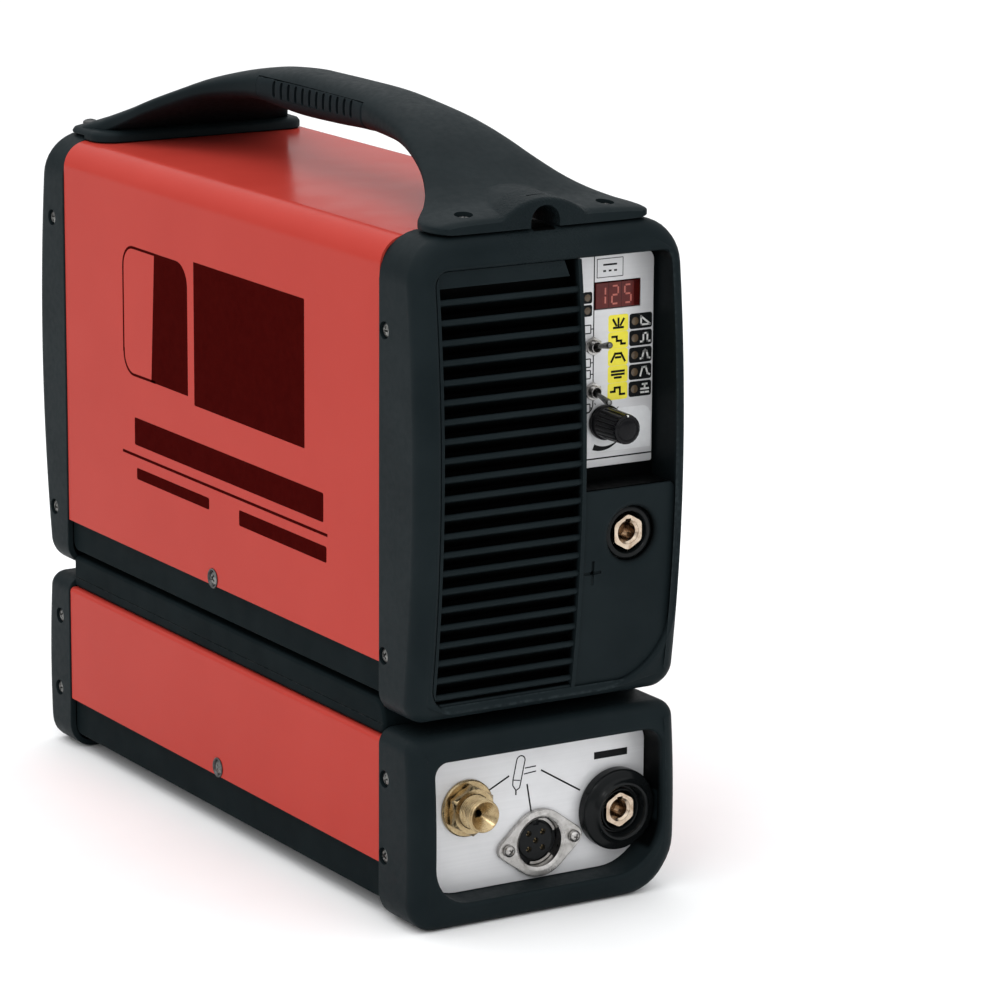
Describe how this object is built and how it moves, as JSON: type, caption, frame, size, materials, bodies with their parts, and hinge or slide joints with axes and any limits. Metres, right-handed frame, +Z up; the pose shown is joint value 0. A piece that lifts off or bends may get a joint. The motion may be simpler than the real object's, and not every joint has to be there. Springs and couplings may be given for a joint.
{
  "type": "tig welder",
  "caption": "Portable inverter TIG welder: power source with carrying handle, front controls and sockets, on a gas and ignition module.",
  "frame": {"origin": "on the floor under the middle of the machine", "axes": "+Z up, the front with the controls faces -Y, +X to the right seen from the front"},
  "size_m": [0.15, 0.4068, 0.3823],
  "materials": {
    "moulding": "fine-textured black moulding",
    "red_paint": "smooth glossy red powder paint",
    "black_steel": "satin black paint on sheet steel",
    "label_plate": "satin silver-grey label plate",
    "window": "dark red display filter",
    "socket_plastic": "smooth black insulating plastic",
    "knob_plastic": "polished black knob",
    "grip_rubber": "matt soft black rubber",
    "brass": "machined brass",
    "bright_steel": "zinc-plated steel",
    "black_screw": "blackened steel",
    "aluminium": "extruded, matt",
    "iron_core": "dark ferrite core with taped winding",
    "copper_winding": "enamelled copper winding",
    "circuit_board": "green solder mask",
    "capacitor_sleeve": "aluminium can in a blue sleeve"
  },
  "bodies": {
    "machine": {"upper_front_bezel": "moulding", "upper_rear_bezel": "moulding", "upper_cover": "red_paint", "upper_chassis": "black_steel", "louvre_grille": "moulding", "control_plate": "label_plate", "socket_panel": "moulding", "display_window": "window", "display_module": "socket_plastic", "potentiometer_body": "bright_steel", "mode_toggle_body": "bright_steel", "process_toggle_body": "bright_steel", "positive_socket_housing": "socket_plastic", "positive_socket_insert": "brass", "handle": "moulding", "handle_grip": "grip_rubber", "handle_screw_front_left": "black_screw", "handle_screw_front_right": "black_screw", "handle_screw_rear_left": "black_screw", "handle_screw_rear_right": "black_screw", "fan_frame": "socket_plastic", "fan_guard": "bright_steel", "power_switch_housing": "socket_plastic", "gland_body": "socket_plastic", "gland_dome_nut": "socket_plastic", "gland_lock_nut": "socket_plastic", "power_board": "circuit_board", "heatsink": "aluminium", "power_transformer": "iron_core", "capacitor_left": "capacitor_sleeve", "capacitor_right": "capacitor_sleeve", "control_board": "circuit_board", "lower_front_bezel": "moulding", "lower_rear_bezel": "moulding", "lower_cover": "red_paint", "lower_tray": "black_steel", "lower_deck": "black_steel", "connection_plate": "label_plate", "gas_outlet_body": "brass", "gas_outlet_nut": "brass", "gas_outlet_washer": "brass", "torch_socket_flange": "bright_steel", "torch_socket_insert": "socket_plastic", "torch_socket_screw_left": "bright_steel", "torch_socket_screw_right": "bright_steel", "negative_socket_housing": "socket_plastic", "negative_socket_insert": "brass", "hf_coil": "copper_winding", "hf_board": "circuit_board", "gas_valve_body": "brass", "gas_inlet": "brass", "gas_hose_rear": "grip_rubber", "gas_hose_front": "grip_rubber"},
    "current_knob": {"current_knob": "knob_plastic", "potentiometer_shaft": "bright_steel"},
    "mode_toggle": {"mode_toggle_lever": "bright_steel"},
    "process_toggle": {"process_toggle_lever": "bright_steel"},
    "mains_rocker": {"power_rocker": "socket_plastic"},
    "fan": {"fan_rotor": "socket_plastic"},
    "valve_plunger": {"gas_valve_plunger": "bright_steel"}
  },
  "joints": [
    {"name": "current_knob_turn", "type": "hinge", "parent": "machine", "child": "current_knob", "pos_m": [0.0395, -0.19, 0.2355], "axis": [0, 1, 0], "range_deg": [-150, 150]},
    {"name": "mode_toggle_flip", "type": "hinge", "parent": "machine", "child": "mode_toggle", "pos_m": [0.033, -0.1835, 0.273], "axis": [1, 0, 0], "range_deg": [0, 26]},
    {"name": "process_toggle_flip", "type": "hinge", "parent": "machine", "child": "process_toggle", "pos_m": [0.033, -0.1835, 0.251], "axis": [1, 0, 0], "range_deg": [-26, 0]},
    {"name": "mains_rocker_rock", "type": "hinge", "parent": "machine", "child": "mains_rocker", "pos_m": [-0.032, 0.1815, 0.146], "axis": [0, 0, 1], "range_deg": [-20, 0]},
    {"name": "fan_spin", "type": "hinge", "parent": "machine", "child": "fan", "pos_m": [0, 0.16, 0.245], "axis": [0, 1, 0], "continuous": true},
    {"name": "valve_plunger_lift", "type": "slide", "parent": "machine", "child": "valve_plunger", "axis": [0, 0, 1], "range_m": [0, 0.002], "stiffness_N_per_m": 300, "springref_m": -0.004}
  ]
}
